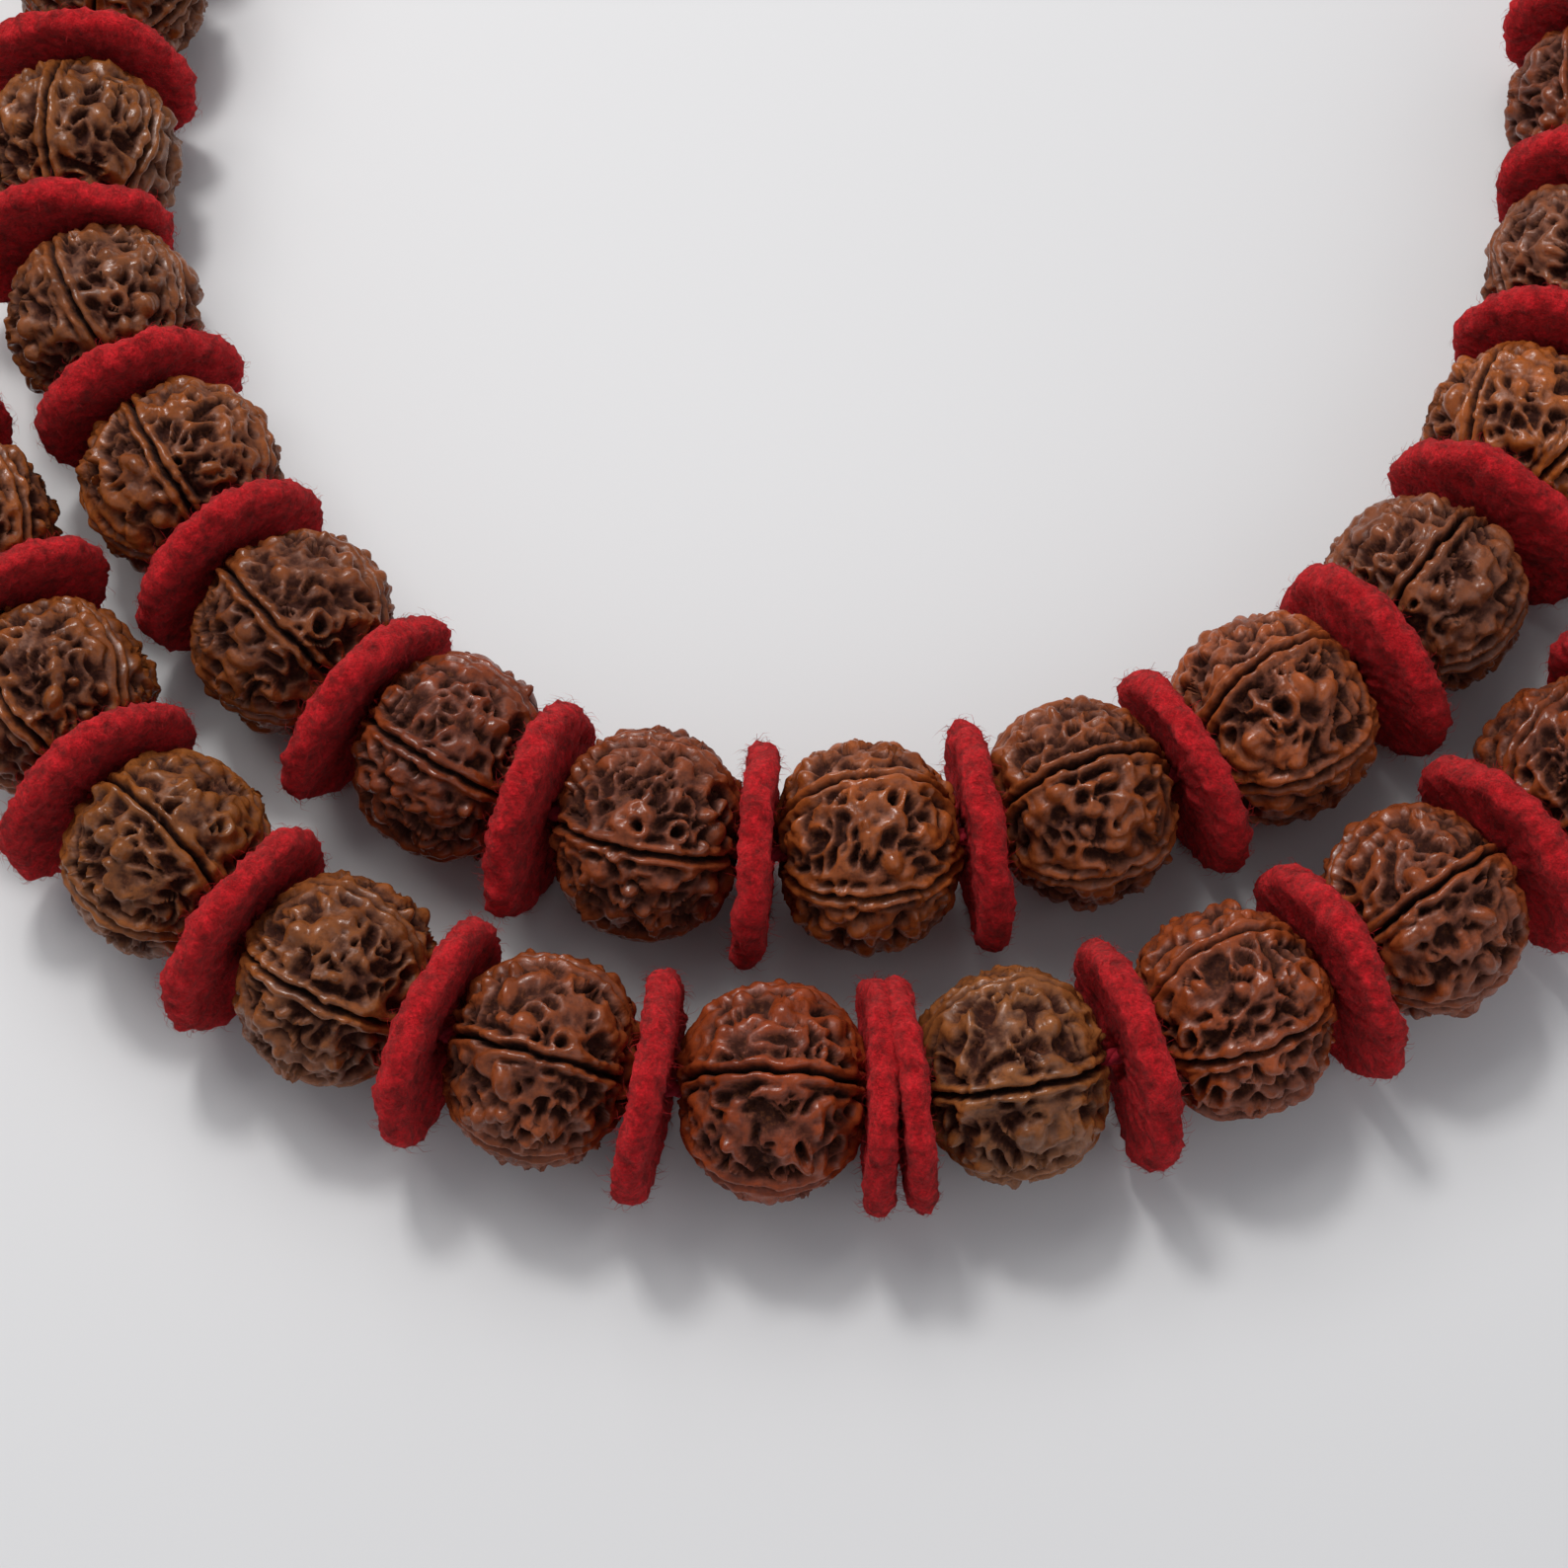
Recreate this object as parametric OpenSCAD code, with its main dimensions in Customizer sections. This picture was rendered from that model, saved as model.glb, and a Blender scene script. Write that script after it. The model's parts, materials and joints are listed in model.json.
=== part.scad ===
// A string of 36 seed beads and one guru bead on a red cord, with a felt disc in every gap,
// laid flat as a folded crescent. Millimetres, +Z up, the beads rest on z = 0.

/* [Beads] */
// Widest diameter of an average bead
bead_d = 19.8; // [19:0.1:20]
// Length of a bead along its bore
bead_l = 15.6; // [14:0.1:15.8]
// How far single beads are wider or narrower than the average
bead_spread = 0.3; // [0:0.05:0.3]
// Diameter of the bore through a bead
bore_d = 3; // [2.6:0.1:4]
// Widest diameter of the guru bead
guru_d = 20.2; // [18:0.1:20.4]
// Length of the guru bead along its bore
guru_l = 16.6; // [15:0.1:17]
// Diameter of the guru bead's bore, which holds both ends of the cord
guru_bore_d = 5; // [4.6:0.1:6]

/* [Felt] */
// Diameter of a felt disc
disc_d = 20.4; // [20:0.1:20.6]
// Thickness of a felt disc
disc_t = 2.2; // [1.6:0.1:2.2]
// Diameter of the hole in a felt disc
disc_hole_d = 3.6; // [3:0.1:4]

/* [Cord and tassel] */
// Diameter of the stringing cord
cord_d = 1.6; // [1:0.1:1.6]
// Diameter of the knot behind the guru bead
knot_d = 7; // [5:0.5:8]
// Diameter of the binding round the tassel's neck
binding_d = 9; // [7:0.5:10]
// Length of the binding
binding_l = 9; // [6:0.5:12]
// Length of the tassel's skirt
skirt_l = 52; // [40:1:60]
// Diameter of the skirt at its open end
skirt_d = 15; // [12:0.5:18]

/* [Hidden] */
$fn = 64;
BEADS = 36;
DOUBLE_GAP = 8;             // the gap that holds two discs
OUTER_LINKS = 8;            // stiff links of the outer strand, counted from the guru bead
INNER_LINKS = 9;            // stiff links of the inner strand, counted from the guru bead
LAST_OUTER_GAP = 17;        // the gap where the two strands meet, in the bend of the fold
BEND_GAPS = [17 : 22];      // gaps in the tight bend of the fold
BEND_ROOM = 2.5;            // extra cord at each gap of the tight bend
SAMPLES = 16;               // samples on each stretch between two route points
FACE_GAP = 0.05;            // between two pieces that touch
KNOT_GAP = 0.2;             // between the guru bead and its knot
SWING_GAP = 0.3;            // between the knot and the tassel, which swings beside it
CORD_SIDES = 8;             // flats round the cord
CORD_LEAD = 1.2;            // how far the cord runs straight out of a bore or a disc before it turns

// Where the cord runs from the first gap to the last, in round numbers
ROUTE = [
    [116, 12], [113, -17], [97, -53.5], [68.5, -83], [30.5, -99.5], [-12, -98.5], [-48.5, -78],
    [-70.5, -43], [-99, -12], [-108.5, 1.5], [-116, 26], [-112.5, 47], [-98, 58.5],
    [-79.5, 59], [-60, 40.5], [-62.5, -4], [-58, -21], [-37, -56.5], [-3.5, -77],
    [36.5, -73.5], [70, -52.5], [88.5, -16], [93.5, 14.5]
];
GURU_POLE = [104.5, 26];    // the end of the guru bead's bore that faces the strands
GURU_HEADING = 92;          // direction from the strands to the tassel, counted from +X

level = disc_d / 2;         // height of the cord's middle, so that the discs rest on z = 0

function bead_name(i) = str("bead_", i < 10 ? "0" : "", i);
function outer_name(k) = str("felt_discs_outer_", k);
function inner_name(k) = str("felt_discs_inner_", k);

// A smooth curve through the route points
function point(p, i) =
    i < 0 ? 2 * p[0] - p[1] : i >= len(p) ? 2 * p[len(p) - 1] - p[len(p) - 2] : p[i];
function curve(a, b, c, d, t) =
    0.5 * (2 * b + (c - a) * t + (2 * a - 5 * b + 4 * c - d) * t * t
        + (3 * b - a - 3 * c + d) * t * t * t);
function smooth(p) = concat(
    [for (i = [0 : len(p) - 2]) for (s = [0 : SAMPLES - 1])
        curve(point(p, i - 1), p[i], p[i + 1], point(p, i + 2), s / SAMPLES)],
    [p[len(p) - 1]]
);
path = smooth(ROUTE);
run = [for (i = 0, s = 0; i < len(path);
    s = s + (i + 1 < len(path) ? norm(path[i + 1] - path[i]) : 0), i = i + 1) s];
along_x = [for (i = [0 : len(path) - 1]) [run[i], path[i][0]]];
along_y = [for (i = [0 : len(path) - 1]) [run[i], path[i][1]]];

// Gaps are spaced evenly along the route, with more room at the double disc and in the bend
function extra(g) =
    disc_t * (g > DOUBLE_GAP ? 1 : g == DOUBLE_GAP ? 0.5 : 0)
    + BEND_ROOM * len([for (b = BEND_GAPS) if (b < g) b]);
pitch = (run[len(run) - 1] - extra(BEADS)) / BEADS;
function gap(g) =
    let (s = g * pitch + extra(g))
    [lookup(s, along_x), lookup(s, along_y)];
gaps = [for (g = [0 : BEADS]) gap(g)];
function bead_at(i) = (gaps[i - 1] + gaps[i]) / 2;
function heading(v) = atan2(v[1], v[0]);
function bead_heading(i) = heading(gaps[i] - gaps[i - 1]);
// A disc halves the angle between its two beads, and the discs at the guru bead face their one bead
function disc_heading(g) =
    g == 0 ? bead_heading(1)
    : g == BEADS ? bead_heading(BEADS)
    : heading(unit(gaps[g] - gaps[g - 1]) + unit(gaps[g + 1] - gaps[g]));
function unit(v) = v / norm(v);
function toward(a) = [cos(a), sin(a)];
function bead_width(i) = bead_d + bead_spread * sin(i * 137);

guru_out = toward(GURU_HEADING);
guru_side = toward(GURU_HEADING - 90);
guru_at = GURU_POLE + guru_out * guru_l / 2;
knot_at = guru_at + guru_out * (guru_l / 2 + knot_d / 2 + KNOT_GAP);
neck_start = knot_d / 2 + SWING_GAP;
skirt_drop = asin((level - skirt_d / 2) / (neck_start + binding_l + skirt_l));

// Lays a shape made along +Z down along a heading, with its middle on the cord
module lay(at, heading) {
    translate([at[0], at[1], level]) rotate([0, 90, heading]) children();
}

// A seed: a round outline about the bore, wider than it is long
module seed(width, long, bore) {
    rotate_extrude() difference() {
        translate([width / 2 - long / 2, 0]) circle(d = long);
        translate([-width, -long]) square([width + bore / 2, 2 * long]);
    }
}

module bead(i) {
    color([0.45 + 0.08 * sin(i * 97), 0.26, 0.15])
        lay(bead_at(i), bead_heading(i)) seed(bead_width(i), bead_l, bore_d);
}

// A felt disc with a round rim
module disc() {
    rotate_extrude() difference() {
        union() {
            translate([0, -disc_t / 2]) square([disc_d / 2 - disc_t / 2, disc_t]);
            translate([disc_d / 2 - disc_t / 2, 0]) circle(d = disc_t);
        }
        translate([-disc_d, -disc_t]) square([disc_d + disc_hole_d / 2, 2 * disc_t]);
    }
}

module gap_discs(g) {
    pair = g == DOUBLE_GAP ? [-1, 1] : [0];
    color([0.78, 0.05, 0.09]) for (side = pair)
        lay(gaps[g], disc_heading(g)) translate([0, 0, side * (disc_t + FACE_GAP) / 2]) disc();
}

// The discs that go with each stiff link: those between its beads and the one at its far end
module outer_discs(k) {
    for (g = [2 * k - 1 : k == OUTER_LINKS ? LAST_OUTER_GAP : 2 * k]) gap_discs(g);
}

module inner_discs(k) {
    far = BEADS - 2 * k;
    for (g = [far : far + 1]) gap_discs(g);
}

module guru_discs() {
    gap_discs(0);
    gap_discs(BEADS);
}

module guru_bead() {
    color([0.36, 0.19, 0.12]) lay(guru_at, GURU_HEADING) seed(guru_d, guru_l, guru_bore_d);
}

// The cord: from the knot through the guru bead, round the whole string and back to the knot
cord_apart = cord_d / 2 + KNOT_GAP;    // each end of the cord from the middle of the guru's bore
knot_face = knot_at - guru_out * (knot_d / 2 + FACE_GAP);
mouth = GURU_POLE - guru_out * CORD_LEAD;
disc_lead = disc_t / 2 + CORD_LEAD;
cord_run = concat(
    [knot_face + guru_side * cord_apart, mouth + guru_side * cord_apart],
    [gaps[0] - disc_lead * toward(bead_heading(1))],
    gaps,
    [gaps[BEADS] + disc_lead * toward(bead_heading(BEADS))],
    [mouth - guru_side * cord_apart, knot_face - guru_side * cord_apart]
);
function cord_way(i) =
    i == 0 ? unit(cord_run[1] - cord_run[0])
    : i == len(cord_run) - 1 ? unit(cord_run[i] - cord_run[i - 1])
    : unit(unit(cord_run[i] - cord_run[i - 1]) + unit(cord_run[i + 1] - cord_run[i]));
// At a corner the ring is stretched, so that the stretches on both sides keep their width
function cord_stretch(i) =
    i == 0 || i == len(cord_run) - 1 ? 1 : 1 / (unit(cord_run[i] - cord_run[i - 1]) * cord_way(i));
function ring(i) =
    let (way = cord_way(i), across = [-way[1], way[0]] * cord_stretch(i))
    [for (k = [0 : CORD_SIDES - 1]) let (a = 360 * k / CORD_SIDES)
        concat(cord_run[i] + across * (cos(a) * cord_d / 2), [level + sin(a) * cord_d / 2])];

module stringing_cord() {
    rings = [for (i = [0 : len(cord_run) - 1]) ring(i)];
    last = (len(cord_run) - 1) * CORD_SIDES;
    sides = [for (i = [0 : len(cord_run) - 2]) for (k = [0 : CORD_SIDES - 1])
        let (a = i * CORD_SIDES + k, b = i * CORD_SIDES + (k + 1) % CORD_SIDES)
        [a, b, b + CORD_SIDES, a + CORD_SIDES]];
    ends = [[for (k = [CORD_SIDES - 1 : -1 : 0]) k], [for (k = [0 : CORD_SIDES - 1]) last + k]];
    color([0.72, 0.06, 0.1])
        polyhedron([for (r = rings) each r], concat(sides, ends));
}

module guru_knot() {
    color([0.72, 0.06, 0.1]) translate([knot_at[0], knot_at[1], level]) sphere(d = knot_d);
}

// The tassel's parts are made along +Z from the knot, then laid down with the skirt's end on z = 0
module from_knot() {
    translate([knot_at[0], knot_at[1], level]) rotate([0, 90 + skirt_drop, GURU_HEADING])
        children();
}

module tassel_binding() {
    color([0.86, 0.62, 0.2]) from_knot() translate([0, 0, neck_start]) rotate_extrude() union() {
        square([binding_d / 2 - 1, binding_l]);
        translate([0, 1]) square([binding_d / 2, binding_l - 2]);
        for (y = [1, binding_l - 1]) translate([binding_d / 2 - 1, y]) circle(r = 1);
    }
}

module tassel_skirt() {
    color([0.78, 0.05, 0.09]) from_knot() translate([0, 0, neck_start + binding_l + FACE_GAP])
        cylinder(d1 = binding_d - 2, d2 = skirt_d, h = skirt_l);
}

for (i = [1 : BEADS]) bead(i);
guru_bead();
guru_discs();  // felt_discs_guru
for (k = [1 : OUTER_LINKS]) outer_discs(k);
for (k = [1 : INNER_LINKS]) inner_discs(k);
stringing_cord();
guru_knot();
tassel_binding();
tassel_skirt();
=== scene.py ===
import json
import math

import bmesh
import bpy
import numpy as np
from bpy.props import (
    FloatProperty,
    FloatVectorProperty,
    IntProperty,
    PointerProperty,
)
from mathutils import Matrix, Vector


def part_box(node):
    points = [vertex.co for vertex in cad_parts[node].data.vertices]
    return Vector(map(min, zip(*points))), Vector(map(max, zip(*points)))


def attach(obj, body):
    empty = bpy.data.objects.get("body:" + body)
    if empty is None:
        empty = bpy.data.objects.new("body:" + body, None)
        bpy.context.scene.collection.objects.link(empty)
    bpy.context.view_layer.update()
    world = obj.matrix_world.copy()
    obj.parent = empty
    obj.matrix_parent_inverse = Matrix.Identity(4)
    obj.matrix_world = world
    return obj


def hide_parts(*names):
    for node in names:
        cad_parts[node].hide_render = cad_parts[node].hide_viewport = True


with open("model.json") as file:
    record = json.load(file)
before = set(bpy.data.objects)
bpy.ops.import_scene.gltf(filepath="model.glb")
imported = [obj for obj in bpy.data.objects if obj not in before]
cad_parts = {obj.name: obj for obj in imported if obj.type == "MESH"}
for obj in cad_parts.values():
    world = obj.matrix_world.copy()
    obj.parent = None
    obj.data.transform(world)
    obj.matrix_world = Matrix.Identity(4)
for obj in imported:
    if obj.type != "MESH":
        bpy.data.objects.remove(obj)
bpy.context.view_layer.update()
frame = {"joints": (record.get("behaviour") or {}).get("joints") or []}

bl_info = {
    "name": "Seed bead mala",
    "version": (1, 0, 0),
    "blender": (4, 5, 0),
    "location": "View3D > Sidebar > Mala",
    "description": "Ridged seed beads, felt discs, cord, knot and tassel of a prayer string",
    "category": "Object",
}

JOINTS = {joint["name"]: joint for joint in frame["joints"]}
UP = Vector((0, 0, 1))
MM = 0.001
FLOOR_CLEARANCE = 0.00005       # nothing sinks below this height

# The string: its seeds are numbered from the guru bead along the outer strand, and back along the inner
BEADS = 36
LAST_OUTER_GAP = 17
OUTER_LINKS = 8
INNER_LINKS = 9
DOUBLE_GAP = 8                  # the gap that holds two discs
LARGEST_SEED = 32
LARGEST_GROW = 1.02             # also the guru bead's

# Relief of a seed, in millimetres above and below its smooth body
SLITS = 5
KNOBS = 100
HOLES = 12
BODY_POWER = 2.25               # 2 is an ellipsoid, and more is squarer
HOLLOW = -1.35
KNOB_FOOT = -1.2
LOWEST, HIGHEST = -2.4, 1.0
SLIT_DEEP, SLIT_WIDE = 1.9, 0.19
LIP_AWAY, LIP_WIDE = 0.66, 0.42
FOLD_AWAY, FOLD_WIDE, FOLD_DEEP = 1.35, 0.22, 0.65
BORE_DEEP, BORE_WIDE = 1.6, 1.5

# Felt
FIBRE_RADIUS = 0.022 * MM
PAIR_LEAN = 0.05                # slope of each disc of the pair toward the other
PAIR_SLIDE = 1.28 * MM          # from the gap's middle to the middle of each disc of the pair
PAIR_SQUEEZE = 0.86

# Cord: each strand's distance from the middle and its radius, as shares of the cord's radius
STRANDS = 3
STRAND_AWAY = 0.47
STRAND_RADIUS = 0.56
STRAND_LAY = 0.0034             # length of one turn of a strand
STRAND_STEP = 0.0006            # between two points of a strand
GURU_MOUTH = 0.0096             # from the guru bead's middle to where both ends go in
ENDS_APART = 0.001              # half of the distance between the two ends
DISC_LEAD = 0.0026              # straight run out of the first and the last disc
KNOT_LEAD = 0.003               # from the ends' last points to the knot's middle

# Knot, binding and tassel
KNOT_LINE = 0.00105             # radius of the line that is wound into the knot
KNOT_INSET = 0.0008             # how much smaller than its CAD node's the line's winding is
BINDING_LENGTH = 0.0088
BINDING_THREAD = 0.00042        # radius of the metallic thread
BINDING_PITCH = 1.9             # of a thread's radius
SKIRT_START = 0.0042            # from the binding's middle
SKIRT_LENGTH = 0.0515
SKIRT_TOP, SKIRT_FOOT = 0.0033, 0.0070      # radius at the two ends
LOOP_START = 0.0010             # from the knot's middle
LOOP_RADIUS = 0.0016
LOOP_STRAND = 0.0009
GOLDEN_TURN = 2.399963          # radians from each thread to the next

# Starts of the random draws, so that each is the same in every run
RELIEF_DRAW = 1000
TONE_DRAW = 500
SIZE_DRAW = 50
FELT_DRAW = 7000
FELT_NOISE = 9000
FIBRE_DRAW = 4000
DISC_DRAW = 300
SKIRT_DRAW = 77
GURU_NUMBER = 40                # the guru bead's number, where the seeds have 1 to 36

# Where the camera stands, seen from the middle of the string's lower bend
CAMERA_AIM = Vector((0.0096, -0.0711, 0.01025))
CAMERA_ELEVATION = 66.37
CAMERA_DISTANCE = 0.2907
CAMERA_ROLL = 0.44
CAMERA_LENS = 72.5
TO_CAMERA = Vector((
    0,
    -math.cos(math.radians(CAMERA_ELEVATION)),
    math.sin(math.radians(CAMERA_ELEVATION)),
))

# Turn of each seed about its bore, in degrees: where its first slit stands from the camera's side
SLIT_TURN = {
    5: 12, 6: -15, 7: 20, 8: 3, 9: -17, 10: -8, 11: 10, 12: -20, 13: 14,
    24: -10, 25: 6, 26: 0, 27: 0, 28: 6, 29: 10, 30: 29, 31: -25, 32: -36, 33: -20, 34: 18,
}
# Colour of a seed's crests, linear
PLAIN_TONE = (0.239, 0.058, 0.015)
SEED_TONE = {
    4: (0.225, 0.049, 0.013), 5: (0.234, 0.051, 0.014), 6: (0.257, 0.059, 0.017),
    7: (0.281, 0.059, 0.016), 8: (0.252, 0.084, 0.024), 9: (0.252, 0.045, 0.012),
    10: (0.234, 0.054, 0.015), 11: (0.234, 0.071, 0.019), 12: (0.234, 0.073, 0.017),
    13: (0.216, 0.060, 0.014), 24: (0.225, 0.071, 0.018), 25: (0.205, 0.064, 0.020),
    26: (0.243, 0.066, 0.015), 27: (0.205, 0.056, 0.015), 28: (0.196, 0.039, 0.011),
    29: (0.225, 0.051, 0.016), 30: (0.299, 0.074, 0.017), 31: (0.263, 0.066, 0.018),
    32: (0.309, 0.074, 0.020), 33: (0.225, 0.066, 0.024), 34: (0.337, 0.089, 0.018),
    35: (0.234, 0.071, 0.027),
}


# ---------------------------------------------------------------- settings


class SeedSettings(bpy.types.PropertyGroup):
    """Sizes of the ridged seeds."""

    radius: FloatProperty(
        name="Radius", description="Radius of a seed before its relief",
        default=0.00945, unit="LENGTH")
    half_length: FloatProperty(
        name="Half length", description="Half of a seed's length along its bore",
        default=0.0083, unit="LENGTH")
    cuts: IntProperty(
        name="Cuts", description="Cuts along each side of the cube that a seed starts from",
        default=53)
    # Colour of the hollows: painted shade, together with the seed's own dark debris
    crevice_shade_and_debris: FloatVectorProperty(
        name="Crevice colour", description="Colour at the bottom of the relief",
        default=(0.034, 0.0060, 0.0018), subtype="COLOR")


class FeltSettings(bpy.types.PropertyGroup):
    """Sizes and colour of the felt discs."""

    radius: FloatProperty(
        name="Radius", description="Radius of a felt disc", default=0.0104, unit="LENGTH")
    thickness: FloatProperty(
        name="Thickness", description="Thickness at the rim", default=0.0027, unit="LENGTH")
    hole: FloatProperty(
        name="Hole", description="Radius of the hole", default=0.0018, unit="LENGTH")
    fibres: IntProperty(
        name="Fibres", description="Loose fibres on each disc", default=680)
    colour: FloatVectorProperty(
        name="Colour", description="Colour of the wool",
        default=(0.64, 0.006, 0.013), subtype="COLOR")


class CordSettings(bpy.types.PropertyGroup):
    """Sizes and colours of the cord, the knot and the tassel."""

    radius: FloatProperty(
        name="Radius", description="Radius of the stringing cord", default=0.0008,
        unit="LENGTH")
    colour: FloatVectorProperty(
        name="Colour", description="Colour of the cord", default=(0.42, 0.012, 0.028),
        subtype="COLOR")
    threads: IntProperty(
        name="Threads", description="Threads in the tassel's skirt", default=300)
    thread_radius: FloatProperty(
        name="Thread radius", description="Radius of a thread of the skirt",
        default=0.00036, unit="LENGTH")
    gold: FloatVectorProperty(
        name="Binding colour", description="Colour of the metallic thread",
        default=(0.72, 0.42, 0.12), subtype="COLOR")


class StageSettings(bpy.types.PropertyGroup):
    """The floor and the lights."""

    floor: FloatVectorProperty(
        name="Floor colour", description="Colour of the plain floor",
        default=(0.69, 0.69, 0.70), subtype="COLOR")
    key: FloatProperty(
        name="Key light", description="Power of the large soft light", default=4.3, unit="POWER")
    window: FloatProperty(
        name="Window light", description="Power of the small bright light", default=1.3,
        unit="POWER")
    fill: FloatProperty(
        name="Fill light", description="Power of the fill light", default=0.8, unit="POWER")
    sky: FloatProperty(
        name="Sky", description="Strength of the even light from all sides", default=0.36)


# ---------------------------------------------------------------- the string's layout


class Layout:
    """Where each bead, gap and disc is, from the joints."""

    def __init__(self):
        self.bead = {}
        self.way = {}
        for i in range(1, BEADS + 1):
            joint = JOINTS[f"bead_{i:02d}_turn"]
            self.bead[i] = Vector(joint["pos_m"])
            self.way[i] = Vector(joint["axis"]).normalized()
        self.gap = {0: Vector(JOINTS["loop_opening"]["pos_m"])}
        for i in range(1, BEADS + 1):
            self.gap[i] = 2 * self.bead[i] - self.gap[i - 1]
        self.knot = middle_of("guru_knot")
        self.guru = middle_of("guru_bead")
        self.guru_way = flat(self.knot - self.guru).normalized()

    def disc_way(self, gap):
        """Direction of the bore through a disc."""
        if gap == 0:
            return self.way[1]
        if gap == BEADS:
            return self.way[BEADS]
        return (self.way[gap] + self.way[gap + 1]).normalized()


def middle_of(node):
    """Middle of a CAD node's box."""
    low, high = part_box(node)
    return (Vector(low) + Vector(high)) / 2


def flat(vector):
    """The vector without its height."""
    return Vector((vector.x, vector.y, 0))


def link_of_gap(gap):
    """The body that a gap's discs ride on."""
    if gap in (0, BEADS):
        return "guru"
    if gap <= LAST_OUTER_GAP:
        return f"outer_link_{min((gap + 1) // 2, OUTER_LINKS)}"
    return f"inner_link_{(BEADS + 1 - gap) // 2}"


def felt_node(gap):
    """The CAD node that holds a gap's discs."""
    return "felt_discs_" + link_of_gap(gap).replace("_link", "")


# ---------------------------------------------------------------- noise


class Noise:
    """Smooth gradient noise in three dimensions, about -1 to 1, the same for the same seed."""

    def __init__(self, seed):
        draw = np.random.default_rng(seed)
        self.order = np.tile(draw.permutation(256), 3)
        slopes = draw.normal(size=(256, 3))
        self.slopes = slopes / np.linalg.norm(slopes, axis=1, keepdims=True)

    def __call__(self, points):
        cell = np.floor(points).astype(int)
        part = points - cell
        cell &= 255
        ease = part ** 3 * (part * (part * 6 - 15) + 10)
        total = np.zeros(len(points))
        for corner in np.ndindex(2, 2, 2):
            c = np.array(corner)
            at = (cell + c) & 255
            pick = self.order[self.order[self.order[at[:, 0]] + at[:, 1]] + at[:, 2]]
            weight = np.prod(np.where(c, ease, 1 - ease), axis=1)
            total += weight * np.sum(self.slopes[pick] * (part - c), axis=1)
        return total * 1.7      # brings the range to about -1 to 1


def smoothstep(low, high, value):
    t = np.clip((value - low) / (high - low), 0, 1)
    return t * t * (3 - 2 * t)


def round_ridge(value, width):
    """A ridge with a round back where the value passes through zero."""
    return np.sqrt(1 - np.clip(np.abs(value) / width, 0, 1) ** 2)


def blend_values(a, b, share):
    return a + (b - a) * share


# ---------------------------------------------------------------- mesh helpers


def mesh_points(mesh):
    points = np.zeros(len(mesh.vertices) * 3)
    mesh.vertices.foreach_get("co", points)
    return points.reshape(-1, 3)


def set_points(mesh, points):
    mesh.vertices.foreach_set("co", np.asarray(points, np.float32).ravel())
    mesh.update()


def float_layer(mesh, name, values):
    layer = mesh.attributes.new(name, "FLOAT", "POINT")
    layer.data.foreach_set("value", np.asarray(values, np.float32))


def colour_layer(mesh, name, values):
    layer = mesh.attributes.new(name, "FLOAT_COLOR", "POINT")
    layer.data.foreach_set("color", np.asarray(values, np.float32).ravel())


def new_piece(name, mesh, material, body, nodes):
    """A finished piece at the origin that rides on its body and stands for its CAD nodes."""
    piece = bpy.data.objects.new(name, mesh)
    bpy.context.scene.collection.objects.link(piece)
    mesh.materials.clear()
    mesh.materials.append(material)
    mesh.shade_smooth()
    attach(piece, body)
    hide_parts(*nodes)
    return piece


def mesh_from(bm, name):
    mesh = bpy.data.meshes.new(name)
    bm.to_mesh(mesh)
    bm.free()
    return mesh


def thread_mesh(name, lines, radius, ring=0, closed=False):
    """Round threads along lines of points. ring 0 gives four sides, and each more adds two."""
    curve = bpy.data.curves.new(name, "CURVE")
    curve.dimensions = "3D"
    curve.bevel_depth = radius
    curve.bevel_resolution = ring
    curve.use_fill_caps = not closed
    for line in lines:
        spline = curve.splines.new("POLY")
        spline.points.add(len(line) - 1)
        spline.points.foreach_set("co", np.c_[line, np.ones(len(line))].ravel())
        spline.use_cyclic_u = closed
    holder = bpy.data.objects.new(name, curve)
    mesh = bpy.data.meshes.new_from_object(holder)
    bpy.data.objects.remove(holder)
    bpy.data.curves.remove(curve)
    bm = bmesh.new()
    bm.from_mesh(mesh)
    bmesh.ops.remove_doubles(bm, verts=bm.verts, dist=radius * 0.02)
    bmesh.ops.recalc_face_normals(bm, faces=bm.faces)
    bm.to_mesh(mesh)
    bm.free()
    return mesh


def joined(name, meshes):
    """One mesh of several, each kept closed. The several are used up."""
    bm = bmesh.new()
    for mesh in meshes:
        bm.from_mesh(mesh)
        bpy.data.meshes.remove(mesh)
    return mesh_from(bm, name)


def lathe(profile, steps):
    """A bmesh of a profile of (radius, height) turned about Z.

    A profile that doesn't start and end on the axis is a ring's section and is closed first.
    """
    bm = bmesh.new()
    verts = [bm.verts.new((r, 0, z)) for r, z in profile]
    edges = [bm.edges.new((a, b)) for a, b in zip(verts, verts[1:])]
    if profile[0][0] > 0 or profile[-1][0] > 0:
        edges.append(bm.edges.new((verts[-1], verts[0])))
    bmesh.ops.spin(
        bm, geom=verts + edges, cent=(0, 0, 0), axis=(0, 0, 1), dvec=(0, 0, 0),
        angle=2 * math.pi, steps=steps, use_merge=True, use_duplicate=False)
    bmesh.ops.remove_doubles(bm, verts=bm.verts, dist=1e-6)
    bmesh.ops.recalc_face_normals(bm, faces=bm.faces)
    return bm


def axes_about(way, turn=0.0):
    """Three unit axes as columns, the last along way.

    The first is turned, in degrees, from the side that faces the camera.
    """
    way = way.normalized()
    face = (TO_CAMERA - way * TO_CAMERA.dot(way)).normalized()
    side = way.cross(face)
    if side.y > 0 or (abs(side.y) < 0.2 and side.x > 0):
        side = -side
    angle = math.radians(turn)
    first = face * math.cos(angle) + side * math.sin(angle)
    second = way.cross(first)
    return np.array([first, second, way]).T


# ---------------------------------------------------------------- materials


def start_material(name):
    material = bpy.data.materials.new(name)
    material.use_nodes = True
    tree = material.node_tree
    shader = tree.nodes["Principled BSDF"]
    return material, tree, shader


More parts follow.
